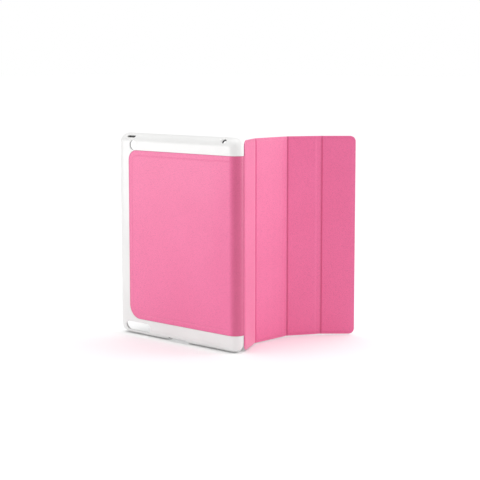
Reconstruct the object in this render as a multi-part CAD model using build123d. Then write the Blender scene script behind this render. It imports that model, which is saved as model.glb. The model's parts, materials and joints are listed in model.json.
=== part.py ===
from build123d import *

import math
import os

# Folding-cover case for a 9.7 inch tablet, standing upright with its cover open.
# Millimetres, +Z up. The shell's back faces -Y and its hinge side, the spine, faces +X.
# Everything is first laid out from the spine's back edge at the floor (spine at X = 0, back
# at Y = 0, bottom at Z = 0), then moved so that the origin is under the middle of the whole.

# ---- the tablet the case is made for ----
tablet_width = 186.0
tablet_height = 241.0
tablet_depth = 8.8

# ---- the hard shell ----
shell_wall = 1.5
fit_gap = 0.5                # between the tablet's sides and the shell's walls
lip_depth = 1.3              # front lip, measured front to back
lip_reach = 1.2              # how far the lip turns in past the walls
corner_radius = 12.0         # outline seen from the back
edge_radius = 10.8           # rounding from the back to the sides
front_round = 0.5            # outer front edge

# ---- the soft liner inside the shell ----
film = 0.1                   # double-sided adhesive film
liner_thick = 0.8
liner_front = 7.5            # how far forward the liner climbs up the walls

# ---- the leather panel on the back ----
leather = 0.6
panel_left_margin = 19.9     # bare shell on the side away from the spine
panel_low = 20.6             # height of the panel's lower edge
panel_top_margin = 20.1      # bare shell above it
panel_top_corner = 12.0
panel_low_corner = 17.0
recess_gap = 0.15            # between the panel's edge and the recess it lies in

# ---- openings in the shell, each placed by the middle of its outer end ----
camera_across = 12.0
camera_from_side = 27.0      # from the side away from the spine
camera_from_top = 14.0
power_long = 13.4
power_wide = 3.6
power_from_side = 22.6
power_from_top = 3.7
jack_across = 6.0
jack_dish_across = 9.0
jack_dish_deep = 0.5
jack_in_liner = 4.0          # the smaller hole in the liner behind it
jack_from_spine = 20.5
jack_from_top = 3.7
dock_long = 31.4
dock_tall = 4.5
dock_round = 1.2
dock_in_liner = 4.3          # how high the liner is cut there
speaker_long = 41.0
speaker_tall = 11.0
speaker_from_side = 33.5
speaker_height = 10.5
speaker_trim = 1.0           # the liner is cut back this far round it
volume_long = 39.0
volume_wide = 6.5
volume_from_top = 43.5
volume_from_back = 6.6
cut_past = 3.0               # how far a cutting tool reaches past the surface it starts from

# ---- the folding cover ----
cover_low = 1.3              # height of its lower edge
cover_from_top = 2.9         # from the shell's top down to its upper edge
cover_from_side = 4.248      # closed: from its free edge to the side away from the spine
board = 1.0
lining = 0.5
board_inset = 3.0            # board's edge to the panel's edge, top and bottom
board_end_inset = 1.2        # the same at the panel's sides
board_gap = 0.1              # play around a board in its pocket
cover_corner = 7.0
panel_shares = [42.6, 54.3, 43.3, 40.7]      # how the panels share the cover's length
fold_before = 6.4            # soft web left of a fold line, towards the spine
fold_after = 1.8             # soft web right of it

# ---- how the cover stands open, as directions seen from above, +X = 0, closed = 180 ----
panel_turns = [112.7, 84.9, 55.1, 40.4]
strip_turn = 143.35

# ---- the hinge strip between the shell and the cover ----
strip_past_spine = 0.3       # its first axis lies this far outside the spine
strip_clearance = 0.3        # between it and the shell's front
strip_long = 3.752           # from its first axis to its second
strip_to_panel = 1.4         # from its second axis to the first panel's edge

# ---- what the cover's boards hold ----
magnet_across = 9.0
magnet_thick = 0.8
magnet_heights = [0.16, 0.39, 0.61, 0.84]    # shares of the cover's height
magnet_from_edge = 8.5
wake_across = 6.0
wake_height = 0.725
wake_from_edge = 20.0
keeper_wide = 10.0
keeper_thick = 0.6
keeper_from_top = 22.4       # from the cover's edge to the keeper's end, top and bottom
keeper_from_end = 8.0        # from its middle to the first panel's far edge
pocket_gap = 0.1

# ---- sizes that follow ----
shell_width = tablet_width + 2 * (fit_gap + shell_wall)
shell_height = tablet_height + 2 * (fit_gap + shell_wall)
liner_outside = shell_wall + film
liner_inside = liner_outside + liner_thick
shell_depth = liner_inside + tablet_depth + lip_depth
cavity_front = shell_depth - lip_depth
web = leather + lining
web_half = web / 2
panel_thick = leather + board + lining
outer_face = web_half - panel_thick
board_face = outer_face + leather
lining_face = web_half - lining
panel_tall = shell_height - panel_low - panel_top_margin
cover_tall = shell_height - cover_low - cover_from_top
keeper_long = cover_tall - 2 * keeper_from_top
cover_long = shell_width + strip_past_spine - strip_long - strip_to_panel - cover_from_side
panel_widths = [cover_long * share / sum(panel_shares) for share in panel_shares]


def turned(length, side, angle):
    """A point that far along and to the left of a direction, as X and Y."""
    a = math.radians(angle)
    return (length * math.cos(a) - side * math.sin(a), length * math.sin(a) + side * math.cos(a))


def moved(point, length, side, angle):
    """That point moved along and to the left of a direction."""
    step = turned(length, side, angle)
    return (point[0] + step[0], point[1] + step[1])


strip_start = (strip_past_spine, shell_depth + strip_clearance + web_half)
strip_end = moved(strip_start, strip_long, 0, strip_turn)


def fold_points():
    """The cover's line from above: its first edge, the three fold lines, its free edge."""
    points = [moved(strip_end, strip_to_panel, 0, panel_turns[0])]
    for width, angle in zip(panel_widths, panel_turns):
        points.append(moved(points[-1], width, 0, angle))
    return points


folds = fold_points()
free_corners = [moved(folds[4], 0, side, panel_turns[3]) for side in (outer_face, web_half)]
origin_x = (max(x for x, y in free_corners) - shell_width) / 2
origin_y = max(y for x, y in free_corners) / 2


def at_origin(shape):
    """The shape moved into the part's own frame."""
    return Pos(-origin_x, -origin_y, 0) * shape


def save(name, shape):
    shape = at_origin(shape)
    shape.label = name
    export_step(shape, "parts/" + name + ".step")


# ---------------------------------------------------------------- the shell and its layers

def rounded_block(inset, front):
    """The case's outer form drawn in by inset at the back and sides, as far forward as front."""
    middle = Vector(-shell_width / 2, inset, shell_height / 2)
    plane = Plane(origin=middle, x_dir=(1, 0, 0), z_dir=(0, 1, 0))
    outline = RectangleRounded(shell_width - 2 * inset, shell_height - 2 * inset, corner_radius - inset)
    block = extrude(plane * outline, amount=front - inset)
    return fillet(block.edges().group_by(Axis.Y)[0], edge_radius - inset)


def front_opening():
    """The mouth the tablet snaps in through, inside the lip."""
    inset = shell_wall + lip_reach
    middle = Vector(-shell_width / 2, cavity_front - 1, shell_height / 2)
    plane = Plane(origin=middle, x_dir=(1, 0, 0), z_dir=(0, 1, 0))
    outline = RectangleRounded(shell_width - 2 * inset, shell_height - 2 * inset, corner_radius - inset)
    return extrude(plane * outline, amount=lip_depth + 2)


def panel_outline(gap, front):
    """A block whose outline is the back panel's, with a gap all round, open past the spine."""
    past_spine = 5
    left = -shell_width + panel_left_margin - gap
    wide = past_spine - left
    tall = panel_tall + 2 * gap
    block = Pos(left + wide / 2, front / 2, panel_low - gap + tall / 2) * Box(wide, front + 2, tall)
    low_left = block.edges().filter_by(Axis.Y).sort_by(lambda e: e.center().X + e.center().Z)[0]
    block = fillet(low_left, panel_low_corner + gap)
    top_left = block.edges().filter_by(Axis.Y).sort_by(lambda e: e.center().X - e.center().Z)[0]
    return fillet(top_left, panel_top_corner + gap)


def rounding_place(height):
    """Y and tilt of the shell's outer surface at that height on its top rounding."""
    rise = (height - (shell_height - edge_radius)) / edge_radius
    tilt = math.degrees(math.asin(rise))
    return edge_radius - edge_radius * math.cos(math.radians(tilt)), tilt


def on_top_rounding(x, from_top):
    """A plane on the top rounding, facing straight out of the shell."""
    height = shell_height - from_top
    y, tilt = rounding_place(height)
    a = math.radians(tilt)
    return Plane(origin=(x, y, height), x_dir=(1, 0, 0), z_dir=(0, -math.cos(a), math.sin(a)))


def power_cut():
    plane = on_top_rounding(power_from_side - shell_width, power_from_top)
    return extrude(plane * SlotOverall(power_long, power_wide), amount=cut_past, both=True)


def jack_cut(across, deep):
    plane = on_top_rounding(-jack_from_spine, jack_from_top)
    hole = extrude(plane * Circle(across / 2), amount=-deep)
    return hole + extrude(plane * Circle(across / 2), amount=cut_past)


def from_behind(from_side, z, outline, deep):
    """An outline cut straight in from the back, that deep."""
    start = (from_side - shell_width, -cut_past, z)
    plane = Plane(origin=start, x_dir=(1, 0, 0), z_dir=(0, 1, 0))
    return extrude(plane * outline, amount=deep + cut_past)


def camera_cut():
    outline = Circle(camera_across / 2)
    return from_behind(camera_from_side, shell_height - camera_from_top, outline, cavity_front - lip_reach)


def speaker_cut(trim):
    outline = SlotOverall(speaker_long + 2 * trim, speaker_tall + 2 * trim)
    return from_behind(speaker_from_side, speaker_height, outline, cavity_front - lip_reach)


def dock_cut(tall):
    middle = Pos(-shell_width / 2, shell_depth / 2, 0)
    block = middle * Box(dock_long, shell_depth + 2 * cut_past, 2 * tall)
    return fillet(block.edges().filter_by(Axis.Y).group_by(Axis.Z)[-1], dock_round)


def volume_cut():
    start = (-shell_width - cut_past, volume_from_back, shell_height - volume_from_top)
    plane = Plane(origin=start, x_dir=(0, 0, 1), z_dir=(1, 0, 0))
    return extrude(plane * SlotOverall(volume_long, volume_wide), amount=cut_past + edge_radius)


def openings(jack_hole, dock_notch, trim):
    """The openings that go right through, with those that the liner has in other sizes."""
    through = [camera_cut(), volume_cut(), speaker_cut(trim)]
    return through + [jack_cut(jack_hole, edge_radius), dock_cut(dock_notch)]


def make_back_shell():
    shell = rounded_block(0, shell_depth)
    shell = fillet(shell.edges().group_by(Axis.Y)[-1], front_round)
    shell -= rounded_block(shell_wall, cavity_front)
    shell -= front_opening()
    recess = panel_outline(recess_gap, shell_depth) - rounded_block(leather + film, shell_depth + 3)
    shell -= recess
    shell -= jack_cut(jack_dish_across, jack_dish_deep)
    shell -= power_cut()
    for cut in openings(jack_across, dock_tall, 0):
        shell -= cut
    return shell


def make_liner_layer(outside, inside):
    layer = rounded_block(outside, shell_depth) - rounded_block(inside, shell_depth + 1)
    beyond = shell_depth - liner_front + 1
    layer -= Pos(-shell_width / 2, liner_front + beyond / 2, shell_height / 2) * Box(
        shell_width, beyond, shell_height
    )
    for cut in openings(jack_in_liner, dock_in_liner, speaker_trim):
        layer -= cut
    return layer


def make_back_layer(outside, inside):
    layer = rounded_block(outside, shell_depth) - rounded_block(inside, shell_depth + 1)
    return layer & panel_outline(0, shell_depth)


# ---------------------------------------------------------------- the hinge strip

def standing(x_from, x_to, side_from, side_to, low, tall):
    """An upright plate in a panel's own frame: X along it, Y to its lining side."""
    middle = Pos((x_from + x_to) / 2, (side_from + side_to) / 2, low + tall / 2)
    return middle * Box(x_to - x_from, side_to - side_from, tall)


def make_hinge_layer(side_from, side_to):
    """A layer of the short strip between the shell and the cover, round-ended at both axes."""
    dx = strip_end[0] - strip_start[0]
    dy = strip_end[1] - strip_start[1]
    length = math.hypot(dx, dy)
    plate = standing(0, length, -web_half, web_half, panel_low, panel_tall)
    for x in (0, length):
        plate += Pos(x, 0, panel_low + panel_tall / 2) * Cylinder(web_half, panel_tall)
    plate &= standing(-web, length + web, side_from, side_to, panel_low, panel_tall)
    return Pos(strip_start[0], strip_start[1], 0) * Rot(0, 0, math.degrees(math.atan2(dy, dx))) * plate


# ---------------------------------------------------------------- the cover's panels

def panel_start(index):
    return 0 if index == 0 else fold_after


def panel_end(index):
    return panel_widths[index] if index == 3 else panel_widths[index] - fold_before


def in_place(index, shape):
    """A panel's shape moved from its own frame to where that panel stands."""
    x, y = folds[index]
    return Pos(x, y, 0) * Rot(0, 0, panel_turns[index]) * shape


def panel_plate(index, side_from, side_to):
    """The full outline of a panel between two depths, with the cover's rounded corners."""
    plate = standing(panel_start(index), panel_end(index), side_from, side_to, cover_low, cover_tall)
    if index == 0:
        plate = fillet(plate.edges().filter_by(Axis.Y).group_by(Axis.X)[0], cover_corner)
    if index == 3:
        plate = fillet(plate.edges().filter_by(Axis.Y).group_by(Axis.X)[-1], cover_corner)
    return plate


def board_block(index, gap):
    """The board of a panel, or with no gap the pocket that it lies in."""
    return standing(
        panel_start(index) + board_end_inset + gap,
        panel_end(index) - board_end_inset - gap,
        board_face,
        lining_face,
        cover_low + board_inset + gap,
        cover_tall - 2 * (board_inset + gap),
    )


def disc(x, height_share, across, thick):
    z = cover_low + cover_tall * height_share
    plane = Plane(origin=(x, board_face, z), x_dir=(1, 0, 0), z_dir=(0, 1, 0))
    return extrude(plane * Circle(across / 2), amount=thick)


def hold_magnets(gap):
    x = panel_end(3) - magnet_from_edge
    return [disc(x, share, magnet_across + 2 * gap, magnet_thick) for share in magnet_heights]


def wake_magnet(gap):
    return disc(panel_end(3) - wake_from_edge, wake_height, wake_across + 2 * gap, magnet_thick)


def keeper_strip(gap):
    low = cover_low + (cover_tall - keeper_long) / 2
    x_to = panel_end(0) - keeper_from_end + keeper_wide / 2
    x_from = x_to - keeper_wide
    far = board_face + keeper_thick
    return standing(x_from - gap, x_to + gap, board_face, far, low - gap, keeper_long + 2 * gap)


def make_board(index):
    shape = board_block(index, board_gap)
    if index == 0:
        shape -= keeper_strip(pocket_gap)
    if index == 3:
        for magnet in hold_magnets(pocket_gap):
            shape -= magnet
        shape -= wake_magnet(pocket_gap)
    return shape


def make_panel_leather(index):
    return panel_plate(index, outer_face, lining_face) - board_block(index, 0)


def make_fold_layer(index, side_from, side_to):
    """A layer of the soft web that crosses the fold between this panel and the next."""
    before = panel_turns[index]
    after = panel_turns[index + 1]
    line = folds[index + 1]
    half_bend = math.radians(after - before) / 2
    bisector = (before + after) / 2
    corners = []
    for side in (side_from, side_to):
        corners.append([
            moved(line, -fold_before, side, before),
            moved(line, 0, side / math.cos(half_bend), bisector),
            moved(line, fold_after, side, after),
        ])
    outline = Polygon(*corners[0], *reversed(corners[1]), align=None)
    return extrude(Pos(0, 0, cover_low) * outline, amount=cover_tall)


def main():
    os.makedirs("parts", exist_ok=True)

    save("back_shell", make_back_shell())
    save("liner_adhesive", make_liner_layer(shell_wall, liner_outside))
    save("shell_liner", make_liner_layer(liner_outside, liner_inside))
    save("back_panel_leather", make_back_layer(0, leather))
    save("back_panel_adhesive", make_back_layer(leather, leather + film))

    save("hinge_leather", make_hinge_layer(-web_half, lining_face))
    save("hinge_lining", make_hinge_layer(lining_face, web_half))

    for index in range(4):
        name = "panel_" + str(index + 1)
        save(name + "_leather", in_place(index, make_panel_leather(index)))
        save(name + "_board", in_place(index, make_board(index)))
        save(name + "_lining", in_place(index, panel_plate(index, lining_face, web_half)))

    for index in range(3):
        name = "fold_" + str(index + 1)
        save(name + "_leather", make_fold_layer(index, -web_half, lining_face))
        save(name + "_lining", make_fold_layer(index, lining_face, web_half))

    save("keeper_strip", in_place(0, keeper_strip(0)))
    save("hold_magnets", Compound(children=[in_place(3, magnet) for magnet in hold_magnets(0)]))
    save("wake_magnet", in_place(3, wake_magnet(0)))


main()
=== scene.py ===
import json
import math

import bmesh
import bpy
import numpy as np
from mathutils import Matrix, Vector, noise


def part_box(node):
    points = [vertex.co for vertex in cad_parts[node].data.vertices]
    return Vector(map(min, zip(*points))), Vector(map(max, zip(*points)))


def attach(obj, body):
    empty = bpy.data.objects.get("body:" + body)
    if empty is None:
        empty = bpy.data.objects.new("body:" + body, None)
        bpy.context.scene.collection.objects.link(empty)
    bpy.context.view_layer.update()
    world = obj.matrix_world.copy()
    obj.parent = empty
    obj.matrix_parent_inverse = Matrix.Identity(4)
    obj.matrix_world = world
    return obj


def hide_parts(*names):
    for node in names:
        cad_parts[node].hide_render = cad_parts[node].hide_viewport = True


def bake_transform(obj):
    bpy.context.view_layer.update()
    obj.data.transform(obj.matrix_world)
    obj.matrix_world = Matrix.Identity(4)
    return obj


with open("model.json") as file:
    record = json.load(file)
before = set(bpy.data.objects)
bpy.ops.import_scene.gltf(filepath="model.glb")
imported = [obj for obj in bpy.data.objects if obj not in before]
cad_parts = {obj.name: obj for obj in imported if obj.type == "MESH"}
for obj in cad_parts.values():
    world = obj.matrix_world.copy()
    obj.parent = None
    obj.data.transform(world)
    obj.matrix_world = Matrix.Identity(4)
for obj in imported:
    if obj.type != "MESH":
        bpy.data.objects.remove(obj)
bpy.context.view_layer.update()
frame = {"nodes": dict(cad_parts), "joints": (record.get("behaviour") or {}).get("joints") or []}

# A pink leather and white polycarbonate tablet case, standing with its folding cover open.
# Sizes are millimetres and are turned to metres where a mesh is made. "Along" runs from the
# shell towards the cover's free edge, "side" is positive towards the tablet and the lining.

MM = 0.001

# ---- the shell, as it was moulded ----
WALL = 1.5
LIP_DEPTH = 1.3
LIP_REACH = 1.2
CORNER = 12.0
EDGE = 10.8
FRONT_ROUND = 0.5
FILM = 0.1
LINER = 0.8
LINER_FRONT = 7.5
ARC_STEPS = 24

# ---- the leather panel on the back ----
LEATHER = 0.6
RECESS_GAP = 0.15
PANEL_TOP_CORNER = 12.0
PANEL_LOW_CORNER = 17.0
BACK_PROUD = 0.12           # how far its edge stands proud of the shell
BACK_PILLOW = 0.3           # how much more it rises just inside the edge
BACK_CROWN = 0.5            # and from there to its middle
BORDER_LINE = 6.4           # its pressed border line, in from the edge
BORDER_DEEP = 0.16

# ---- openings: sizes, and distances of their middles from the spine and the floor ----
CAMERA_ACROSS, CAMERA_FROM_SPINE, CAMERA_HEIGHT = 12.0, 163.0, 231.0
SPEAKER_LONG, SPEAKER_TALL = 41.0, 11.0
SPEAKER_FROM_SPINE, SPEAKER_HEIGHT = 156.5, 10.5
SPEAKER_TRIM = 1.0          # the liner is cut back this far round it
DOCK_LONG, DOCK_TALL, DOCK_ROUND = 31.4, 4.5, 1.2
DOCK_IN_LINER = 4.3
VOLUME_LONG, VOLUME_WIDE = 39.0, 6.5
VOLUME_FROM_BACK, VOLUME_HEIGHT = 6.6, 201.5
TOP_OPENINGS_HEIGHT = 241.3
JACK_ACROSS, JACK_IN_LINER, JACK_FROM_SPINE = 6.0, 4.0, 20.5
JACK_DISH_ACROSS, JACK_DISH_DEEP = 9.0, 0.5
JACK_BORE = 7               # how deep its hole's cutter goes
POWER_LONG, POWER_WIDE, POWER_FROM_SPINE = 13.4, 3.6, 167.4
POWER_DEEP = 2.2            # through the wall and no further
CUT_PAST = 3                # how far outside the top a cutter starts
CUT_BACK = 11               # how deep the cutters from the back go
NEARLY_ROUND = 0.001        # a round hole is a slot longer than it is wide by this

# ---- the cover ----
COVER_CORNER = 7.0
RIM = 3.4                   # pressed margin around each board
RIM_DROP = 0.5
RIM_ROUND = 0.42
FOLD_BEFORE = 9.2           # a fold's soft zone, towards the spine
FOLD_AFTER = 3.2            # and towards the free edge
FOLD_DEPTH = 0.95
FOLD_ARC = 1.6              # half the length over which the web itself bends
LINING_INSET = 0.9
LINING_DIP = 0.16           # how far the lining sinks between the boards
LINING_LINE = 2.3           # its pressed line, in from its edge
LINING_LINE_DEEP = 0.14
LINING_ROUND = 0.4
LINING_EDGE = 0.9           # how much of that rounding it has
SEAM_ROUND = 0.3            # rounding of the leather's edge at the seam
WEB_OUTER = -0.55           # the web's outer face
ROW_STEP = 7.0              # the mesh's coarsest spacing up the cover
COLUMN_STEP = 5.0           # and along it
NO_EDGE = 1000.0            # stands for an edge too far off to matter

shell_low, shell_high = [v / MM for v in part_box("back_shell")]
shell_width = shell_high.x - shell_low.x
shell_height = shell_high.z - shell_low.z
shell_depth = shell_high.y - shell_low.y
joint_at = {j["name"]: Vector(j["pos_m"]) / MM for j in frame["joints"]}


# ------------------------------------------------------------------ materials

def linear(hex_colour):
    """An sRGB hex colour as linear red, green, blue and alpha."""
    parts = [int(hex_colour[k:k + 2], 16) / 255 for k in (1, 3, 5)]
    return [c / 12.92 if c <= 0.04045 else ((c + 0.055) / 1.055) ** 2.4 for c in parts] + [1.0]


def add(tree, kind, links=None, **settings):
    """Adds a node. Settings are properties or, where none has that name, input values."""
    node = tree.nodes.new(kind)
    for name, value in settings.items():
        if hasattr(node, name):
            setattr(node, name, value)
        else:
            node.inputs[name.replace("_", " ")].default_value = value
    for name, source in (links or {}).items():
        tree.links.new(source, node.inputs[name])
    return node


def new_material(name):
    """An empty material with its shader, and Object coordinates in metres."""
    material = bpy.data.materials.new(name)
    material.use_nodes = True
    tree = material.node_tree
    tree.nodes.clear()
    shader = add(tree, "ShaderNodeBsdfPrincipled")
    add(tree, "ShaderNodeOutputMaterial", {"Surface": shader.outputs["BSDF"]})
    place = add(tree, "ShaderNodeTexCoord").outputs["Object"]
    return material, tree, shader, place


def colour_ramp(tree, factor, stops):
    ramp = add(tree, "ShaderNodeValToRGB", {"Fac": factor})
    ramp.color_ramp.elements[0].position = stops[0][0]
    ramp.color_ramp.elements[0].color = stops[0][1]
    ramp.color_ramp.elements[1].position = stops[-1][0]
    ramp.color_ramp.elements[1].color = stops[-1][1]
    for position, colour in stops[1:-1]:
        ramp.color_ramp.elements.new(position).color = colour
    return ramp.outputs["Color"]


def moulded_polycarbonate():
    """Injection-moulded polycarbonate, polished tool: white, glossy, very slightly wavy."""
    material, tree, shader, place = new_material("moulded_polycarbonate_gloss_white")
    shader.inputs["IOR"].default_value = 1.586
    shader.inputs["Subsurface Weight"].default_value = 0.06
    shader.inputs["Subsurface Radius"].default_value = (0.004, 0.004, 0.004)
    cloud = add(tree, "ShaderNodeTexNoise", {"Vector": place}, Scale=22.0, Detail=3.0)
    tint = [(0.35, linear("#E8E8E7")), (0.65, linear("#ECECEB"))]
    tree.links.new(colour_ramp(tree, cloud.outputs["Fac"], tint), shader.inputs["Base Color"])
    haze = add(tree, "ShaderNodeTexNoise", {"Vector": place}, Scale=160.0, Detail=4.0)
    rough = add(tree, "ShaderNodeMapRange", {"Value": haze.outputs["Fac"]}, To_Min=0.28, To_Max=0.38)
    tree.links.new(rough.outputs["Result"], shader.inputs["Roughness"])
    peel = add(tree, "ShaderNodeTexNoise", {"Vector": place}, Scale=420.0, Detail=2.0)
    bump = add(tree, "ShaderNodeBump", {"Height": peel.outputs["Fac"]}, Strength=0.05, Distance=0.0002)
    tree.links.new(bump.outputs["Normal"], shader.inputs["Normal"])
    return material


def grained_leather():
    """PU leather, embossed with a fine pebble about 1 mm across: satin, a little sheen. Its colour
    is darkened by painted shade in the fold grooves, round the spine and along the rims."""
    material, tree, shader, place = new_material("pu_leather_pebbled_pink")
    shader.inputs["IOR"].default_value = 1.5
    shader.inputs["Coat Weight"].default_value = 0.5
    shader.inputs["Coat Roughness"].default_value = 0.36
    shader.inputs["Coat IOR"].default_value = 1.5
    shader.inputs["Sheen Weight"].default_value = 0.8
    shader.inputs["Sheen Roughness"].default_value = 0.35
    shader.inputs["Sheen Tint"].default_value = linear("#FFE3EE")
    warp = add(tree, "ShaderNodeTexNoise", {"Vector": place}, Scale=700.0, Detail=2.0)
    shifted = add(tree, "ShaderNodeVectorMath", {0: warp.outputs["Color"]}, operation="SCALE", Scale=0.0006)
    bent = add(tree, "ShaderNodeVectorMath", {0: place, 1: shifted.outputs["Vector"]}, operation="ADD")
    pebble = add(tree, "ShaderNodeTexVoronoi", {"Vector": bent.outputs["Vector"]}, feature="DISTANCE_TO_EDGE",
                 Scale=950.0)
    domes = add(tree, "ShaderNodeMapRange", {"Value": pebble.outputs["Distance"]},
                interpolation_type="SMOOTHSTEP", From_Max=0.32)
    broad = add(tree, "ShaderNodeTexNoise", {"Vector": place}, Scale=16.0, Detail=4.0, Roughness=0.55)
    body = colour_ramp(tree, broad.outputs["Fac"], [(0.3, linear("#F46BA1")), (0.7, linear("#F870A6"))])
    valley = colour_ramp(tree, domes.outputs["Result"], [(0.0, linear("#E3DDE0")), (0.5, linear("#FFFFFF"))])
    colour = add(tree, "ShaderNodeMix", data_type="RGBA", blend_type="MULTIPLY")
    colour.inputs[0].default_value = 0.8
    tree.links.new(body, colour.inputs[6])
    tree.links.new(valley, colour.inputs[7])
    # painted shade: this attribute multiplies the leather darker in the fold grooves, round the spine and at
    # the rims, where shade falls
    pressed = add(tree, "ShaderNodeAttribute", attribute_name="pressed").outputs["Fac"]
    painted_shade_tint = colour_ramp(tree, pressed, [(0.0, linear("#FFFFFF")), (1.0, linear("#E2CFD6"))])
    tone = add(tree, "ShaderNodeMix", data_type="RGBA", blend_type="MULTIPLY")
    tone.inputs[0].default_value = 1.0
    tree.links.new(colour.outputs[2], tone.inputs[6])
    tree.links.new(painted_shade_tint, tone.inputs[7])
    tree.links.new(tone.outputs[2], shader.inputs["Base Color"])
    rough = add(tree, "ShaderNodeMapRange", {"Value": domes.outputs["Result"]}, To_Min=0.52, To_Max=0.42)
    tree.links.new(rough.outputs["Result"], shader.inputs["Roughness"])
    grain = add(tree, "ShaderNodeBump", {"Height": domes.outputs["Result"]}, Strength=0.25, Distance=0.00008)
    pores = add(tree, "ShaderNodeTexNoise", {"Vector": place}, Scale=3200.0, Detail=3.0)
    fine = add(tree, "ShaderNodeBump", {"Height": pores.outputs["Fac"], "Normal": grain.outputs["Normal"]},
               Strength=0.2, Distance=0.00005)
    tree.links.new(fine.outputs["Normal"], shader.inputs["Normal"])
    return material


def brushed_microfibre(name, dark, light):
    """Brushed microfibre: short matt pile that lies in soft patches, with a fuzzy sheen."""
    material, tree, shader, place = new_material(name)
    shader.inputs["Roughness"].default_value = 0.95
    shader.inputs["Sheen Weight"].default_value = 0.45
    shader.inputs["Sheen Roughness"].default_value = 0.35
    # the pile's strokes are drawn about 1 mm wide, coarser than the real fibres, so that they show
    stroked = add(tree, "ShaderNodeMapping", {"Vector": place}, Scale=(1.0, 1.0, 0.35))
    nap = add(tree, "ShaderNodeTexNoise", {"Vector": stroked.outputs["Vector"]}, Scale=60.0, Detail=6.0,
              Roughness=0.65)
    fibre = add(tree, "ShaderNodeTexNoise", {"Vector": stroked.outputs["Vector"]}, Scale=1400.0, Detail=4.0)
    both = add(tree, "ShaderNodeMix", {"Factor": fibre.outputs["Fac"]}, data_type="FLOAT")
    both.inputs[2].default_value = 0.0
    tree.links.new(nap.outputs["Fac"], both.inputs[3])
    tones = [(0.12, linear(dark)), (0.4, linear(light))]
    tree.links.new(colour_ramp(tree, both.outputs[0], tones), shader.inputs["Base Color"])
    bump = add(tree, "ShaderNodeBump", {"Height": fibre.outputs["Fac"]}, Strength=0.6, Distance=0.0003)
    tree.links.new(bump.outputs["Normal"], shader.inputs["Normal"])
    return material


def pressed_fibreboard():
    """Pressed grey-brown fibreboard: matt, flecked with fibres under a millimetre long."""
    material, tree, shader, place = new_material("pressed_fibreboard")
    shader.inputs["Roughness"].default_value = 0.9
    fleck = add(tree, "ShaderNodeTexNoise", {"Vector": place}, Scale=900.0, Detail=6.0, Roughness=0.7)
    tones = [(0.35, linear("#8B8073")), (0.6, linear("#A99D8D"))]
    tree.links.new(colour_ramp(tree, fleck.outputs["Fac"], tones), shader.inputs["Base Color"])
    bump = add(tree, "ShaderNodeBump", {"Height": fleck.outputs["Fac"]}, Strength=0.3, Distance=0.0001)
    tree.links.new(bump.outputs["Normal"], shader.inputs["Normal"])
    return material


def adhesive_film():
    """Black double-sided acrylic film: half glossy, faintly blotched."""
    material, tree, shader, place = new_material("acrylic_adhesive_film")
    blotch = add(tree, "ShaderNodeTexNoise", {"Vector": place}, Scale=60.0, Detail=3.0)
    tones = [(0.3, linear("#222224")), (0.7, linear("#2E2E31"))]
    tree.links.new(colour_ramp(tree, blotch.outputs["Fac"], tones), shader.inputs["Base Color"])
    rough = add(tree, "ShaderNodeMapRange", {"Value": blotch.outputs["Fac"]}, To_Min=0.25, To_Max=0.45)
    tree.links.new(rough.outputs["Result"], shader.inputs["Roughness"])
    return material


def nickel_plate():
    """Nickel-plated steel: warm grey metal with fine rolling lines."""
    material, tree, shader, place = new_material("nickel_plated_steel")
    shader.inputs["Metallic"].default_value = 1.0
    stretched = add(tree, "ShaderNodeMapping", {"Vector": place}, Scale=(1.0, 1.0, 0.04))
    lines = add(tree, "ShaderNodeTexNoise", {"Vector": stretched.outputs["Vector"]}, Scale=2400.0, Detail=3.0)
    tones = [(0.3, linear("#B9B2A6")), (0.7, linear("#D0CABF"))]
    tree.links.new(colour_ramp(tree, lines.outputs["Fac"], tones), shader.inputs["Base Color"])
    rough = add(tree, "ShaderNodeMapRange", {"Value": lines.outputs["Fac"]}, To_Min=0.22, To_Max=0.4)
    tree.links.new(rough.outputs["Result"], shader.inputs["Roughness"])
    return material


polycarbonate = moulded_polycarbonate()
leather = grained_leather()
liner_cloth = brushed_microfibre("brushed_microfibre_charcoal", "#17171A", "#2A2A2E")
lining_cloth = brushed_microfibre("brushed_microfibre_grey", "#AFAAAE", "#C2BEC1")
fibreboard = pressed_fibreboard()
film = adhesive_film()
nickel = nickel_plate()


# ------------------------------------------------------------------ meshes

def finished(obj, material, smooth_angle=35):
    """Merges, turns faces outward, shades smoothly up to that angle, and gives the material."""
    mesh = obj.data
    bm = bmesh.new()
    bm.from_mesh(mesh)
    bmesh.ops.remove_doubles(bm, verts=bm.verts, dist=1e-7)
    bmesh.ops.recalc_face_normals(bm, faces=bm.faces)
    if bm.calc_volume(signed=True) < 0:
        bmesh.ops.reverse_faces(bm, faces=bm.faces)
    bm.to_mesh(mesh)
    bm.free()
    mesh.shade_smooth()
    mesh.set_sharp_from_angle(angle=math.radians(smooth_angle))
    mesh.materials.clear()
    mesh.materials.append(material)
    return obj


def mesh_object(name, points, faces, edges=()):
    """An object from points in millimetres."""
    mesh = bpy.data.meshes.new(name)
    mesh.from_pydata([(x * MM, y * MM, z * MM) for x, y, z in points], edges, faces)
    obj = bpy.data.objects.new(name, mesh)
    bpy.context.scene.collection.objects.link(obj)
    return obj


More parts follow.
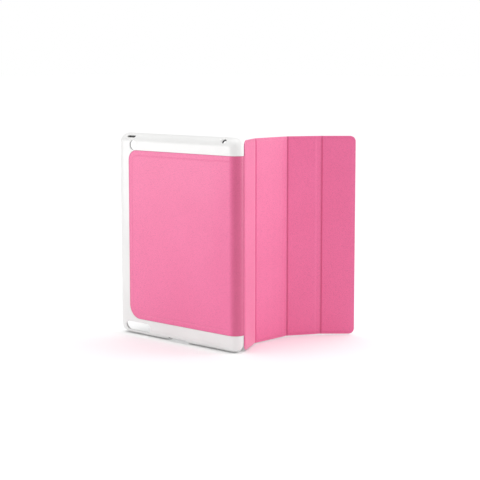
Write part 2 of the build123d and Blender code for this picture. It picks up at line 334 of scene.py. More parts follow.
def slab(name, columns, rows_at, place, outer, inner, pressed=None):
    """A closed sheet over a grid: columns run along it, rows_at gives a column's heights, and
    outer and inner give the sides of its two faces there. The last argument gives how far painted shade
    darkens it there."""
    points, faces, painted_shade_amounts = [], [], []
    rows = len(rows_at(columns[0]))
    for face in (outer, inner):
        for u in columns:
            for z in rows_at(u):
                points.append(place(u, face(u, z), z))
                painted_shade_amounts.append(pressed(u, z) if pressed else 0.0)
    wide = len(columns)
    far = wide * rows

    def corner(i, j, layer=0):
        return layer * far + i * rows + j

    for i in range(wide - 1):
        for j in range(rows - 1):
            faces.append((corner(i, j), corner(i + 1, j), corner(i + 1, j + 1), corner(i, j + 1)))
            faces.append((corner(i, j, 1), corner(i, j + 1, 1), corner(i + 1, j + 1, 1), corner(i + 1, j, 1)))
    for i in range(wide - 1):
        for j in (0, rows - 1):
            faces.append((corner(i, j), corner(i, j, 1), corner(i + 1, j, 1), corner(i + 1, j)))
    for j in range(rows - 1):
        for i in (0, wide - 1):
            faces.append((corner(i, j), corner(i, j + 1), corner(i, j + 1, 1), corner(i, j, 1)))
    piece = mesh_object(name, points, faces)
    # painted shade: how much the leather's colour is darkened at each point
    piece.data.attributes.new("pressed", "FLOAT", "POINT").data.foreach_set("value", painted_shade_amounts)
    return piece


def smooth(t):
    t = min(1.0, max(0.0, t))
    return t * t * (3 - 2 * t)


def spread(start, end, step):
    """Evenly spaced values from start to end, no further apart than step."""
    count = max(1, math.ceil((end - start) / step - 1e-9))
    return [start + (end - start) * k / count for k in range(count + 1)]


def from_edge(length, near, step):
    """Values from 0 to length, at the near ones from both ends and evenly between."""
    middle = spread(near[-1], length - near[-1], step)
    return near[:-1] + middle + [length - d for d in reversed(near[:-1])]


def rounded_inset(x, z, low, high, low_corner, high_corner, left=0.0, right=None):
    """How far inside a rounded outline a point lies, from its left, lower and upper edges,
    and from its right edge if it has one."""
    distances = [x - left, z - low, high - z]
    if right is not None:
        distances.append(right - x)
    inside = min(distances)
    ends = [(left, 1)] + ([(right, -1)] if right is not None else [])
    for edge, sign in ends:
        for level, way, r in ((low, 1, low_corner), (high, -1, high_corner)):
            dx = edge + sign * r - x
            dz = level + way * r - z
            if dx * sign > 0 and dz * way > 0:
                inside = min(inside, r - math.hypot(dx, dz))
    return inside


def corner_drop(x, edge, way, radius):
    """How far a rounded corner pulls in the top or bottom at that distance along."""
    t = (x - edge) * way
    if t >= radius:
        return 0.0
    return radius - math.sqrt(max(0.0, radius * radius - (radius - t) ** 2))


def edge_rounding(d, radius):
    """How far a face falls at a distance inside a rounded edge."""
    d = min(max(d, 0.0), radius)
    return radius - math.sqrt(max(0.0, radius * radius - (radius - d) ** 2))


# ------------------------------------------------------------------ the shell and its liner

def sweep_tree():
    """A node tree that sweeps a profile round a rounded rectangle."""
    tree = bpy.data.node_groups.new("sweep_round_the_case", "GeometryNodeTree")
    face = tree.interface
    face.new_socket("Profile", in_out="INPUT", socket_type="NodeSocketObject")
    for name in ("Width", "Height", "Corner Radius"):
        face.new_socket(name, in_out="INPUT", socket_type="NodeSocketFloat")
    face.new_socket("Corner Steps", in_out="INPUT", socket_type="NodeSocketInt")
    face.new_socket("Material", in_out="INPUT", socket_type="NodeSocketMaterial")
    face.new_socket("Geometry", in_out="OUTPUT", socket_type="NodeSocketGeometry")
    given = add(tree, "NodeGroupInput").outputs
    frame_curve = add(tree, "GeometryNodeCurvePrimitiveQuadrilateral",
                      {"Width": given["Width"], "Height": given["Height"]})
    rounded = add(tree, "GeometryNodeFilletCurve", mode="POLY",
                  links={"Curve": frame_curve.outputs["Curve"], "Radius": given["Corner Radius"],
                         "Count": given["Corner Steps"]})
    level = add(tree, "GeometryNodeSetCurveNormal", {"Curve": rounded.outputs["Curve"]}, mode="Z_UP")
    profile = add(tree, "GeometryNodeObjectInfo", {"Object": given["Profile"]})
    line = add(tree, "GeometryNodeMeshToCurve", {"Mesh": profile.outputs["Geometry"]})
    swept = add(tree, "GeometryNodeCurveToMesh",
                {"Curve": level.outputs["Curve"], "Profile Curve": line.outputs["Curve"]})
    whole = add(tree, "GeometryNodeRealizeInstances", {"Geometry": swept.outputs["Mesh"]})
    painted = add(tree, "GeometryNodeSetMaterial",
                  {"Geometry": whole.outputs["Geometry"], "Material": given["Material"]})
    add(tree, "NodeGroupOutput", {"Geometry": painted.outputs["Geometry"]})
    return tree


sweeping = sweep_tree()


def swept_tray(name, profile, material):
    """A tray whose wall has that profile, a list of (inset, depth from the back), and whose
    two flat floors close the profile's ends."""
    line = mesh_object(name + "_profile", [(-inset, depth, 0) for inset, depth in profile], [],
                       [(k, k + 1) for k in range(len(profile) - 1)])
    holder = mesh_object(name, [(0, 0, 0)], [])
    sweep = holder.modifiers.new("sweep", "NODES")
    sweep.node_group = sweeping
    sockets = {s.name: s.identifier for s in sweeping.interface.items_tree if s.in_out == "INPUT"}
    sweep[sockets["Profile"]] = line
    sweep[sockets["Width"]] = shell_width * MM
    sweep[sockets["Height"]] = shell_height * MM
    sweep[sockets["Corner Radius"]] = CORNER * MM
    sweep[sockets["Corner Steps"]] = ARC_STEPS
    sweep[sockets["Material"]] = material
    evaluated = holder.evaluated_get(bpy.context.evaluated_depsgraph_get())
    made = bpy.data.meshes.new_from_object(evaluated)
    holder.modifiers.remove(sweep)
    holder.data = made
    bpy.data.objects.remove(line)
    # the sweep lies flat with its profile's depth along Z: stand it up, back towards -Y
    depth_sign = 1 if np.mean([v.co.z for v in made.vertices]) > 0 else -1
    middle = Vector(((shell_low.x + shell_high.x) / 2, shell_low.y, (shell_low.z + shell_high.z) / 2)) * MM
    upright = Matrix(((1, 0, 0), (0, 0, depth_sign), (0, 1, 0))).to_4x4()
    made.transform(Matrix.Translation(middle) @ upright)
    bm = bmesh.new()
    bm.from_mesh(made)
    bmesh.ops.remove_doubles(bm, verts=bm.verts, dist=1e-6)
    bmesh.ops.holes_fill(bm, edges=[e for e in bm.edges if e.is_boundary], sides=0)
    bmesh.ops.recalc_face_normals(bm, faces=bm.faces)
    bm.to_mesh(made)
    bm.free()
    return holder


def arc(centre_inset, centre_depth, radius, start, end, steps):
    """Points of a profile's arc, angles in degrees, 0 towards the side and 90 to the front."""
    points = []
    for k in range(steps + 1):
        a = math.radians(start + (end - start) * k / steps)
        points.append((centre_inset - radius * math.cos(a), centre_depth + radius * math.sin(a)))
    return points


def shell_profile():
    """From the inner floor round the lip to the flat back."""
    front = shell_depth
    lip_back = front - LIP_DEPTH
    lip = WALL + LIP_REACH
    inner = arc(EDGE, EDGE, EDGE - WALL, -90, 0, ARC_STEPS)
    mouth = [(lip - 0.25, lip_back), (lip, lip_back + 0.25), (lip, front - 0.35), (lip - 0.12, front - 0.1),
             (lip - 0.35, front)]
    outer_front = arc(FRONT_ROUND, front - FRONT_ROUND, FRONT_ROUND, 90, 0, 6)
    outer = arc(EDGE, EDGE, EDGE, 0, -90, ARC_STEPS)
    return inner + [(WALL, lip_back)] + mouth + outer_front + outer


def liner_profile():
    """The liner's cross-section, from its inner floor over its rounded rim to its back."""
    outside = EDGE - WALL - FILM
    inside = outside - LINER
    rise = math.degrees(math.asin((LINER_FRONT - EDGE) / ((outside + inside) / 2)))
    inner = arc(EDGE, EDGE, inside, -90, rise, ARC_STEPS)
    outer = arc(EDGE, EDGE, outside, rise, -90, ARC_STEPS)
    a, b = Vector(inner[-1]), Vector(outer[0])
    forward = Vector((b.y - a.y, a.x - b.x)).normalized() * (LINER / 2)
    if forward.y < 0:
        forward = -forward
    rim = [tuple((a + b) / 2 + (a - b) / 2 * math.cos(t) + forward * math.sin(t))
           for t in (math.pi * k / 6 for k in range(1, 6))]
    return inner + rim + outer


def turned_outward(obj):
    """Turns a cutter's faces outward."""
    bm = bmesh.new()
    bm.from_mesh(obj.data)
    bmesh.ops.recalc_face_normals(bm, faces=bm.faces)
    bm.to_mesh(obj.data)
    bm.free()
    return obj


def prism(name, outline, origin, right, up, way, depth):
    """A cutter: an outline in a plane at origin, pushed that far along way."""
    origin, right, up, way = Vector(origin), Vector(right), Vector(up), Vector(way)
    ring = [origin + right * x + up * y for x, y in outline]
    points = ring + [p + way * depth for p in ring]
    n = len(ring)
    faces = [tuple(range(n)), tuple(range(2 * n - 1, n - 1, -1))]
    faces += [(k, (k + 1) % n, n + (k + 1) % n, n + k) for k in range(n)]
    return turned_outward(mesh_object(name, points, faces))


def slot_outline(long, tall, steps=16):
    """A round-ended slot about the origin, long way along the first axis."""
    r = tall / 2
    half = (long - tall) / 2
    ring = []
    for end, start in ((half, -90), (-half, 90)):
        for k in range(steps + 1):
            a = math.radians(start + 180 * k / steps)
            ring.append((end + r * math.cos(a), r * math.sin(a)))
    return ring


def notch_outline(wide, tall, corner):
    """A notch up from the floor with rounded upper corners."""
    ring = [(-wide / 2, -2), (wide / 2, -2)]
    for way, start in ((1, 0), (-1, 90)):
        for k in range(7):
            a = math.radians(start + 15 * k)
            across = way * (wide / 2 - corner) + corner * math.cos(a)
            ring.append((across, tall - corner + corner * math.sin(a)))
    return ring


def cut(obj, cutters):
    """Cuts every cutter out of the object and makes the result plain."""
    for tool in cutters:
        modifier = obj.modifiers.new(tool.name, "BOOLEAN")
        modifier.object = tool
        modifier.operation = "DIFFERENCE"
        modifier.solver = "EXACT"
    evaluated = obj.evaluated_get(bpy.context.evaluated_depsgraph_get())
    made = bpy.data.meshes.new_from_object(evaluated)
    obj.modifiers.clear()
    obj.data = made
    return obj


def top_rounding(height):
    """Depth from the back and outward direction on the shell's top rounding."""
    tilt = math.asin((height - (shell_height - EDGE)) / EDGE)
    return EDGE - EDGE * math.cos(tilt), Vector((0, -math.cos(tilt), math.sin(tilt)))


def opening_cutters():
    """Cutters for the openings through shell and liner, then the shell's own, then the liner's."""
    spine, back = shell_high.x, shell_low.y
    east, upward, forward = (1, 0, 0), (0, 0, 1), (0, 1, 0)
    top_depth, top_out = top_rounding(TOP_OPENINGS_HEIGHT)
    inward = top_out.cross(Vector(east))

    def from_behind(name, outline, from_spine, height):
        return prism(name, outline, (spine - from_spine, back - 1, height), east, upward, forward, CUT_BACK)

    def from_the_top(name, outline, from_spine, deep):
        start = Vector((spine - from_spine, back + top_depth, TOP_OPENINGS_HEIGHT)) + top_out * CUT_PAST
        return prism(name, outline, start, east, inward, -top_out, CUT_PAST + deep)

    def dock_notch(name, tall):
        return prism(name, notch_outline(DOCK_LONG, tall, DOCK_ROUND),
                     (spine - shell_width / 2, back - 1, 0), east, upward, forward, shell_depth + 2)

    camera = from_behind("camera_hole", slot_outline(CAMERA_ACROSS + NEARLY_ROUND, CAMERA_ACROSS, 32),
                         CAMERA_FROM_SPINE, CAMERA_HEIGHT)
    speaker = from_behind("speaker_slot", slot_outline(SPEAKER_LONG, SPEAKER_TALL),
                          SPEAKER_FROM_SPINE, SPEAKER_HEIGHT)
    trimmed = slot_outline(SPEAKER_LONG + 2 * SPEAKER_TRIM, SPEAKER_TALL + 2 * SPEAKER_TRIM)
    liner_speaker = from_behind("liner_speaker_slot", trimmed, SPEAKER_FROM_SPINE, SPEAKER_HEIGHT)
    dock = dock_notch("dock_notch", DOCK_TALL)
    liner_dock = dock_notch("liner_dock_notch", DOCK_IN_LINER)
    volume = prism("volume_slot", slot_outline(VOLUME_LONG, VOLUME_WIDE),
                   (spine - shell_width - 1, back + VOLUME_FROM_BACK, VOLUME_HEIGHT),
                   upward, forward, east, EDGE)
    jack = from_the_top("jack_hole", slot_outline(JACK_ACROSS + NEARLY_ROUND, JACK_ACROSS),
                        JACK_FROM_SPINE, JACK_BORE)
    liner_jack = from_the_top("liner_jack_hole", slot_outline(JACK_IN_LINER + NEARLY_ROUND, JACK_IN_LINER),
                              JACK_FROM_SPINE, JACK_BORE)
    dish = from_the_top("jack_dish", slot_outline(JACK_DISH_ACROSS + NEARLY_ROUND, JACK_DISH_ACROSS, 24),
                        JACK_FROM_SPINE, JACK_DISH_DEEP)
    power = from_the_top("power_slot", slot_outline(POWER_LONG, POWER_WIDE), POWER_FROM_SPINE, POWER_DEEP)
    return [camera, volume], [dish, power, jack, dock, speaker], [liner_jack, liner_dock, liner_speaker]


# ------------------------------------------------------------------ the leather on the back

panel_low_corner, panel_high_corner = [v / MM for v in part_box("back_panel_leather")]
back_low = panel_low_corner.z
back_high = panel_high_corner.z
back_left = panel_low_corner.x
flat_length = shell_high.x - EDGE - back_left
arc_length = math.pi / 2 * EDGE
leather_stop = 1.2              # the panel's leather ends this far along the spine's flat


def round_the_spine(u, side, z):
    """Places a point of the back leather: flat on the back, round the spine, then forward.
    Side is measured into the shell from its outer surface."""
    if u <= flat_length:
        return (back_left + u, shell_low.y + side, z)
    centre_x, centre_y = shell_high.x - EDGE, shell_low.y + EDGE
    if u <= flat_length + arc_length:
        a = (u - flat_length) / EDGE
        r = EDGE - side
        return (centre_x + r * math.sin(a), centre_y - r * math.cos(a), z)
    return (shell_high.x - side, centre_y + u - flat_length - arc_length, z)


def back_rows(u, grow=0.0):
    """Heights of the back leather's rows in that column, within its rounded corners."""
    near = [0, 0.1, 0.22, 0.4, 0.7, 1.1, 1.6, 2.4, 3.4] + [4 + 0.4 * k for k in range(12)]
    near += [10.5, 13, 16, 20]
    low = back_low - grow + corner_drop(u, -grow, 1, PANEL_LOW_CORNER + grow)
    high = back_high + grow - corner_drop(u, -grow, 1, PANEL_TOP_CORNER + grow)
    levels = from_edge(back_high - back_low, near, 6.0)
    return [low + (high - low) * d / (back_high - back_low) for d in levels]


def back_columns():
    near = [0, 0.06, 0.22, 0.45, 0.8, 1.2, 1.8, 2.5, 3.2] + [4 + 0.4 * k for k in range(12)]
    near += [9.3, 10.2, 11.2, 12.4, 13.8, 15.4, 17.2, 20]
    flat = near + spread(26, flat_length - 2, 6.0)
    return flat + spread(flat_length, flat_length + arc_length, arc_length / 28) + [
        flat_length + arc_length + leather_stop]


def back_outer(u, z):
    """The leather's outer face: a soft pillow with rounded edges and a pressed border line."""
    d = rounded_inset(u, z, back_low, back_high, PANEL_LOW_CORNER, PANEL_TOP_CORNER)
    over_spine = smooth((flat_length + 4 - u) / 30)
    pillow = BACK_PROUD + BACK_PILLOW * smooth(d / 5) * (0.35 + 0.65 * over_spine)
    crown = BACK_CROWN * smooth(d / 60) * over_spine
    line = BORDER_DEEP * math.exp(-((d - BORDER_LINE) / 0.55) ** 2)
    ripple = 0.05 * noise.noise(Vector((u / 30, z / 30, 3.1)))
    return edge_rounding(d, RIM_ROUND) - (pillow + crown - line + ripple * smooth(d / 8))


def back_inner(u, z):
    return LEATHER


def back_painted_shade(u, z):
    """Painted shade on the back leather: dark round the spine's rounding, a little at its edges and along its
    border line.
    """
    d = rounded_inset(u, z, back_low, back_high, PANEL_LOW_CORNER, PANEL_TOP_CORNER)
    turn = (u - flat_length) / arc_length
    round_spine = smooth((turn + 0.05) / 0.5) * (1 - 0.25 * smooth((turn - 0.85) / 0.3))
    edge = 0.35 * math.exp(-(d / 0.9) ** 2)
    return max(round_spine, edge, 0.18 * math.exp(-((d - BORDER_LINE) / 0.8) ** 2))


def make_back_leather():
    piece = slab("back_leather", back_columns(), back_rows, round_the_spine, back_outer, back_inner,
                 back_painted_shade)
    return finished(piece, leather)


def recess_cutter():
    """What is cut out of the shell for the leather and its film."""
    def rows(u):
        return back_rows(u, RECESS_GAP)

    columns = [-RECESS_GAP + 0.004] + back_columns()[1:-1] + [flat_length + arc_length + 4]
    return slab("recess", columns, rows, round_the_spine, lambda u, z: -2.0, lambda u, z: LEATHER + FILM)


# ------------------------------------------------------------------ the cover

def panel_place(index):
    """Where a cover panel stands, read from its CAD nodes: start line, direction, extents."""
    joint = "cover_swing" if index == 1 else f"fold_{index - 1}_bend"
    start = joint_at[joint].xy
    plate = np.array([v.co[:] for v in frame["nodes"][f"panel_{index}_lining"].data.vertices]) / MM
    centred = plate[:, :2] - plate[:, :2].mean(0)
    direction = Vector(np.linalg.eigh(centred.T @ centred)[1][:, 1])
    middle = Vector(plate[:, :2].mean(0)) - start
    if direction.dot(middle) < 0:
        direction = -direction
    across = Vector((-direction.y, direction.x))
    leather_node = frame["nodes"][f"panel_{index}_leather"]
    hull = np.array([v.co[:] for v in leather_node.data.vertices]) / MM - [*start, 0]
    along = hull[:, :2] @ np.array(direction)
    side = hull[:, :2] @ np.array(across)
    lining_side = (plate[:, :2] - np.array(start)) @ np.array(across)
    return {
        "at": start, "along": direction, "across": across,
        "start": float(along.min()), "end": float(along.max()),
        "outer": float(side.min()), "seam": float(lining_side.min()), "inner": float(lining_side.max()),
        "low": float(hull[:, 2].min()), "high": float(hull[:, 2].max()),
    }


panels = {index: panel_place(index) for index in (1, 2, 3, 4)}
cover_low, cover_high = panels[1]["low"], panels[1]["high"]
outer_face = panels[1]["outer"]
seam_face = panels[1]["seam"]
inner_face = panels[1]["inner"]
fold_at = {k: (joint_at[f"fold_{k}_bend"].xy - panels[k]["at"]).length for k in (1, 2, 3)}
cover_left = panels[1]["start"]
cover_right = panels[4]["end"]


def in_panel(index):
    """A function that places a point of that panel."""
    p = panels[index]

    def place(u, side, z):
        at = p["at"] + p["along"] * u + p["across"] * side
        return (at.x, at.y, z)

    return place


def across_fold(index):
    """Places a point of the web between a panel and the next: u is 0 at the fold line, and
    the web bends round an arc that meets both panels."""
    before, after = panels[index], panels[index + 1]
    bend = before["along"].angle_signed(after["along"]) * -1
    radius = FOLD_ARC / math.tan(bend / 2)
    start = after["at"] - before["along"] * FOLD_ARC

    def place(u, side, z):
        if u <= -FOLD_ARC:
            at = after["at"] + before["along"] * u + before["across"] * side
        elif u >= FOLD_ARC:
            at = after["at"] + after["along"] * u + after["across"] * side
        else:
            a = bend * (u + FOLD_ARC) / (2 * FOLD_ARC)
            run = before["along"] * math.sin(a) + before["across"] * (1 - math.cos(a))
            out = before["across"] * math.cos(a) - before["along"] * math.sin(a)
            at = start + run * radius + out * side
        return (at.x, at.y, z)

    return place


def cover_inset(index, u, z, inset=0.0, corner=COVER_CORNER):
    """Distance inside the cover's outline, which has edges at its two ends only."""
    left = cover_left + inset if index == 1 else -NO_EDGE
    right = cover_right - inset if index == 4 else None
    low, high = cover_low + inset, cover_high - inset
    if index in (1, 4):
        return rounded_inset(u, z, low, high, corner, corner, left=left, right=right)
    return min(z - low, high - z)


def rim_fall(d):
    """How far the outer face falls at the pressed rim around the boards."""
    return RIM_DROP * (1 - smooth((d - RIM + 1.3) / 1.6)) + edge_rounding(d, RIM_ROUND)


def rim_painted_shade(d):
    """Painted shade on the cover's rim, a little where it drops off the boards."""
    return 0.25 * math.exp(-((d - RIM + 0.9) / 0.7) ** 2)


def wave(u, z, seed):
    """The faint unevenness of leather over board."""
    return 0.06 * noise.noise(Vector((u / 26, z / 34, seed)))


def fold_shape(u):
    """Depth of the valley at a fold: off the board's edge, along the web, then up a short bank."""
    if u < -0.3:
        return 0.68 * smooth((u + 8.4) / 2.6) + 0.32 * max(0.0, (u + 6.2) / 5.9) ** 1.5
    return 0.5 * (1 + math.cos(math.pi * min(1.0, (u + 0.3) / 1.7)))


row_near = [0, 0.06, 0.18, 0.42, 0.8, 1.3, 1.8, 2.1, 2.4, 2.8, 3.2, 3.7, 4.2, 5, 7]


def cover_rows(index, inset=0.0, corner=COVER_CORNER):
    """A function giving a column's row heights, pulled in at the cover's rounded corners."""
    low, high = cover_low + inset, cover_high - inset

    def rows(u):
        drop = 0.0
        if index == 1:
            drop = corner_drop(u, cover_left + inset, 1, corner)
        if index == 4:
            drop = corner_drop(u, cover_right - inset, -1, corner)
        full = high - low
        inner_low, inner_high = low + drop, high - drop
        return [inner_low + (inner_high - inner_low) * d / full for d in from_edge(full, row_near, ROW_STEP)]

    return rows


corner_steps = [0, 0.06, 0.22, 0.42, 0.8, 1.3, 1.8, 2.1, 2.4, 2.8, 3.2, 3.7, 4.2, 5, 6, 7]


def panel_columns(index, inset=0.0):
    """Columns of a panel's own piece, finer at the cover's two free ends."""
    first = cover_left + inset if index == 1 else FOLD_AFTER
    last = cover_right - inset if index == 4 else fold_at[index] - FOLD_BEFORE
    if index == 1:
        return [first + d for d in corner_steps] + spread(first + 9, last, COLUMN_STEP)
    if index == 4:
        return spread(first, last - 9, COLUMN_STEP) + [last - d for d in reversed(corner_steps)]
    return spread(first, last, COLUMN_STEP)


def own_span(index):
    """Where a panel's own pieces meet those of its folds, far off at the cover's free ends."""
    first = -NO_EDGE if index == 1 else FOLD_AFTER
    last = NO_EDGE if index == 4 else fold_at[index] - FOLD_BEFORE
    return first, last


def make_panel(index):
    """A panel's outer leather, over its board and down to the seam."""
    def outer(u, z):
        d = cover_inset(index, u, z)
        return outer_face + rim_fall(d) + wave(u, z, index * 7.3) * smooth((d - 3) / 8) * end_fade(index, u)

    def inner(u, z):
        return seam_face - edge_rounding(cover_inset(index, u, z), SEAM_ROUND)

    piece = slab(f"panel_{index}_outer_leather", panel_columns(index), cover_rows(index),
                 in_panel(index), outer, inner, lambda u, z: rim_painted_shade(cover_inset(index, u, z)))
    return finished(piece, leather)


def end_fade(index, u):
    """Fades the leather's unevenness out towards a panel's fold ends, so that pieces meet."""
    first, last = own_span(index)
    return smooth((u - first) / 10) * smooth((last - u) / 10)


def pressed_line(d):
    """The lining is pressed down in a line along the boards' edges."""
    return LINING_LINE_DEEP * math.exp(-((d - LINING_LINE) / 0.5) ** 2)


def lining_face(d):
    """The lining's inner face at a distance inside its edge, before it dips between boards."""
    return inner_face - edge_rounding(d, LINING_ROUND) * LINING_EDGE - pressed_line(d)


def make_panel_lining(index):
    """A panel's inner lining, which sinks a little towards its folds."""
    corner = COVER_CORNER - LINING_INSET
    first, last = own_span(index)

    def outer(u, z):
        return seam_face

    def inner(u, z):
        d = cover_inset(index, u, z, LINING_INSET, corner)
        fall = min(u - first, last - u, 3.0) / 3.0
        return lining_face(d) - LINING_DIP * (1 - smooth(fall))

    piece = slab(f"panel_{index}_inner_lining", panel_columns(index, LINING_INSET),
                 cover_rows(index, LINING_INSET, corner), in_panel(index), outer, inner)
    return finished(piece, lining_cloth)


def fold_columns():
    slope = spread(-FOLD_BEFORE, -FOLD_ARC, 0.6)
    return slope + spread(-FOLD_ARC, FOLD_ARC, 0.2)[1:] + spread(FOLD_ARC, FOLD_AFTER, 0.4)[1:]


def make_fold(index):
    """The outer leather over a fold: down off the boards into a pressed valley and up again."""
    def outer(u, z):
        d = min(z - cover_low, cover_high - z)
        deep = FOLD_DEPTH * fold_shape(u)
        fall = rim_fall(d)
        rounding = edge_rounding(d, RIM_ROUND)
        return outer_face + max(fall, rounding + deep) + 0.12 * min(fall, deep)

    def inner(u, z):
        return seam_face - edge_rounding(min(z - cover_low, cover_high - z), SEAM_ROUND)

    # the first fold, next to the spine's, gets weaker painted shade in its groove than the others
    strength = 0.15 if index == 1 else 1.0

    # painted shade: darkens the leather along the fold's groove and at its rims, where shade falls
    def pressed(u, z):
        groove = strength * math.exp(-((u - 0.3) / (1.3 if u < 0.3 else 0.9)) ** 2)
        return max(groove, rim_painted_shade(min(z - cover_low, cover_high - z)))

    piece = slab(f"fold_{index}_outer_leather", fold_columns(), cover_rows(0), across_fold(index),
                 outer, inner, pressed)
    return finished(piece, leather)


def make_fold_lining(index):
    """The lining over a fold, with a shallow crease along it."""
    def inner(u, z):
        d = min(z - cover_low, cover_high - z) - LINING_INSET
        crease = 0.12 * math.exp(-((u + 0.2) / 0.7) ** 2)
        return lining_face(d) - LINING_DIP - crease

    piece = slab(f"fold_{index}_inner_lining", fold_columns(), cover_rows(0, LINING_INSET),
                 across_fold(index), lambda u, z: seam_face, inner)
    return finished(piece, lining_cloth)


# ------------------------------------------------------------------ the hinge strip

strip_a = joint_at["hinge_strip_swing"].xy
strip_b = joint_at["cover_swing"].xy
strip_along = (strip_b - strip_a).normalized()
strip_across = Vector((-strip_along.y, strip_along.x))
strip_length = (strip_b - strip_a).length
leather_mid = (WEB_OUTER + seam_face) / 2


def smooth_path(points, steps=8):
    """A Catmull-Rom line through the points."""
    padded = [points[0] * 2 - points[1]] + points + [points[-1] * 2 - points[-2]]
    line = []
    for k in range(1, len(padded) - 2):
        p0, p1, p2, p3 = padded[k - 1:k + 3]
        for s in range(steps):
            t = s / steps
            line.append(0.5 * ((2 * p1) + (p2 - p0) * t + (2 * p0 - 5 * p1 + 4 * p2 - p3) * t * t
                               + (3 * p1 - p0 - 3 * p2 + p3) * t ** 3))
    return line + [points[-1]]


def path_slab(name, path, low, high, half, material):
    """A leather strip of that half thickness standing along a path seen from above."""
    normals = []
    for k in range(len(path)):
        tangent = (path[min(k + 1, len(path) - 1)] - path[max(k - 1, 0)]).normalized()
        normals.append(Vector((-tangent.y, tangent.x)))

    def place(u, side, z):
        at = path[int(u)] + normals[int(u)] * side
        return (at.x, at.y, z)

    def rows(u):
        return [low + d for d in from_edge(high - low, [0, 0.1, 0.3, 0.8, 2.0], 8.0)]

    def face(sign):
        def side(u, z):
            return sign * (half - edge_rounding(min(z - low, high - z), half * 0.9))
        return side

    # painted shade: the hinge leather is darkened all over for the shade between shell and cover; the
    # lining's cloth does not read it
    piece = slab(name, range(len(path)), rows, place, face(-1), face(1), lambda u, z: 0.9)
    return finished(piece, material)


def make_hinge():
    """The leather from the spine over the two hinge axes into the first panel, in two pieces
    that meet in the strip's middle, and the strip's lining."""
    spine_x = shell_high.x - LEATHER / 2
    spine_y = shell_low.y + EDGE + leather_stop
    middle = strip_a + strip_along * (strip_length / 2) + strip_across * leather_mid
    first = strip_a + strip_along * 0.35 + strip_across * (leather_mid + 0.05)
    near_middle = strip_a + strip_along * (strip_length * 0.42) + strip_across * leather_mid
    shell_side = smooth_path([Vector((spine_x, spine_y)), Vector((spine_x, spine_y + 0.45)), first,
                              near_middle, middle])
    p = panels[1]
    entry = p["at"] + p["along"] * (cover_left - 0.1) + p["across"] * leather_mid
    inside = p["at"] + p["along"] * (cover_left + 2.0) + p["across"] * leather_mid
    beyond = strip_a + strip_along * (strip_length * 0.58) + strip_across * leather_mid
    last = strip_b - strip_along * 0.3 + strip_across * leather_mid
    cover_side = smooth_path([middle, beyond, last, entry, inside])
    a = path_slab("hinge_leather_shell_side", shell_side, back_low, back_high, LEATHER / 2, leather)
    b = path_slab("hinge_leather_cover_side", cover_side, back_low, back_high, LEATHER / 2, leather)
    lining_mid = (seam_face + inner_face) / 2
    line = [strip_a + strip_along * (strip_length * (k / 8)) + strip_across * lining_mid for k in range(9)]
    c = path_slab("hinge_inner_lining", line, back_low, back_high, (inner_face - seam_face) / 2,
                  lining_cloth)
    return a, b, c


# ------------------------------------------------------------------ build

def build_shell():
    """The shell and its liner, with every opening and the leather's recess cut."""
    through, shell_own, liner_own = opening_cutters()
    recess = turned_outward(recess_cutter())
    shell = swept_tray("polycarbonate_shell", shell_profile(), polycarbonate)
    cut(shell, [recess] + through + shell_own)
    liner = swept_tray("microfibre_liner", liner_profile(), liner_cloth)
    cut(liner, through + liner_own)
    for tool in [recess] + through + shell_own + liner_own:
        bpy.data.objects.remove(tool)
    finished(shell, polycarbonate, 30)
    finished(liner, liner_cloth, 40)
    return shell, liner


shell, liner = build_shell()
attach(shell, "case")
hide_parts("back_shell")
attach(liner, "case")
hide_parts("shell_liner")

back_leather = make_back_leather()
hinge_shell, hinge_cover, hinge_lining = make_hinge()
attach(back_leather, "case")
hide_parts("back_panel_leather")

for index in (1, 2, 3, 4):
    outer = make_panel(index)
    inner = make_panel_lining(index)
    for piece, node, slot in ((outer, f"panel_{index}_leather", "pink_leather"),
                              (inner, f"panel_{index}_lining", "grey_microfibre")):
        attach(piece, f"panel_{index}")
        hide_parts(node)
        columns = panel_columns(index)

for index in (1, 2, 3):
    for piece, node, slot in ((make_fold(index), f"fold_{index}_leather", "pink_leather"),
                              (make_fold_lining(index), f"fold_{index}_lining", "grey_microfibre")):
        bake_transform(piece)
        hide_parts(node)

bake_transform(hinge_shell)
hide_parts("hinge_leather")
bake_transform(hinge_cover)
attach(hinge_lining, "hinge_strip")
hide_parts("hinge_lining")

for name, node in frame["nodes"].items():
    if name.endswith("_board"):
        own = fibreboard
    elif name.endswith("_adhesive"):
        own = film
    elif name in ("keeper_strip", "hold_magnets", "wake_magnet"):
        own = nickel
    else:
        continue
    node.data.materials.clear()
    node.data.materials.append(own)


# ------------------------------------------------------------------ floor, light and camera

def pale_floor():
    """A plain pale floor under the case, wide enough to fill every view."""
    half = 30000
    floor = mesh_object("floor", [(-half, -half, 0), (half, -half, 0), (half, half, 0), (-half, half, 0)],
                        [(0, 1, 2, 3)])
    material, _, shader, _ = new_material("matt_white_paper")
    shader.inputs["Base Color"].default_value = linear("#FCFCFC")
    shader.inputs["Roughness"].default_value = 0.9
    floor.data.materials.append(material)


def lamp_of(light):
    """The object that carries a light."""
    lamp = bpy.data.objects.new(light.name, light)
    bpy.context.scene.collection.objects.link(lamp)
    return lamp


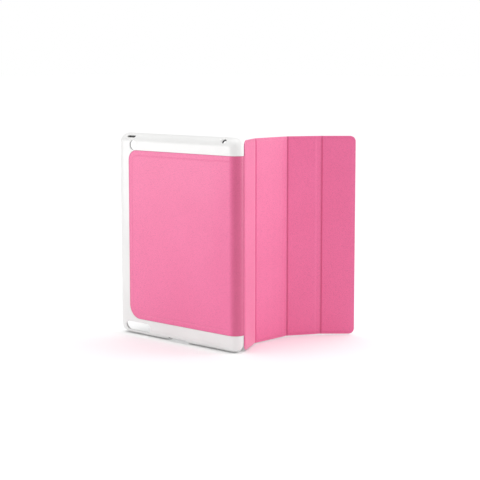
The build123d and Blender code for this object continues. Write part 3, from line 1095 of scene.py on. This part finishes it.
def softbox(name, azimuth, elevation, distance, size, power):
    """A square soft light aimed at the case, azimuth seen from above with +X at 0."""
    light = bpy.data.lights.new(name, "AREA")
    light.shape = "SQUARE"
    light.size = size
    light.energy = power
    lamp = lamp_of(light)
    a, e = math.radians(azimuth), math.radians(elevation)
    aim = Vector((0, 0, 0.12))
    towards = Vector((math.cos(a) * math.cos(e), math.sin(a) * math.cos(e), math.sin(e)))
    lamp.location = aim + distance * towards
    lamp.rotation_mode = "QUATERNION"
    lamp.rotation_quaternion = (lamp.location - aim).to_track_quat("Z", "Y")


def studio_light():
    """A dim white world that the camera sees as pure white, two softboxes and a broad sun."""
    world = bpy.data.worlds.new("studio")
    bpy.context.scene.world = world
    world.use_nodes = True
    tree = world.node_tree
    tree.nodes.clear()
    background = add(tree, "ShaderNodeBackground")
    background.inputs["Color"].default_value = (1, 1, 1, 1)
    background.inputs["Strength"].default_value = 0.58
    seen = add(tree, "ShaderNodeBackground")
    seen.inputs["Color"].default_value = (1, 1, 1, 1)
    path = add(tree, "ShaderNodeLightPath")
    mixed = add(tree, "ShaderNodeMixShader", {0: path.outputs["Is Camera Ray"], 1: background.outputs[0],
                                              2: seen.outputs[0]})
    add(tree, "ShaderNodeOutputWorld", {"Surface": mixed.outputs[0]})
    softbox("right_softbox", azimuth=44, elevation=14, distance=1.6, size=0.8, power=6.8)
    softbox("left_softbox", azimuth=-131, elevation=4, distance=1.5, size=0.36, power=3.1)
    overhead = bpy.data.lights.new("overhead", "SUN")
    overhead.energy = 1.6
    overhead.angle = math.radians(70)
    lamp_of(overhead)


def camera_at_the_case():
    """A long lens a metre and a half off, a little above the case and tipped down to it."""
    camera = bpy.data.cameras.new("camera")
    camera.sensor_width = 36
    camera.lens = 89.9
    camera.shift_y = -0.10
    eye = bpy.data.objects.new("camera", camera)
    bpy.context.scene.collection.objects.link(eye)
    spine_back = Vector((shell_high.x, shell_low.y, 0))
    eye.location = (spine_back + Vector((861.0, -1010.1, 325.0))) * MM
    heading, tilt = math.radians(40.27), math.radians(6)
    look = Vector((-math.sin(heading) * math.cos(tilt), math.cos(heading) * math.cos(tilt), -math.sin(tilt)))
    eye.rotation_mode = "QUATERNION"
    eye.rotation_quaternion = look.to_track_quat("-Z", "Y")
    bpy.context.scene.camera = eye


pale_floor()
studio_light()
camera_at_the_case()
bpy.context.scene.view_settings.view_transform = "Standard"
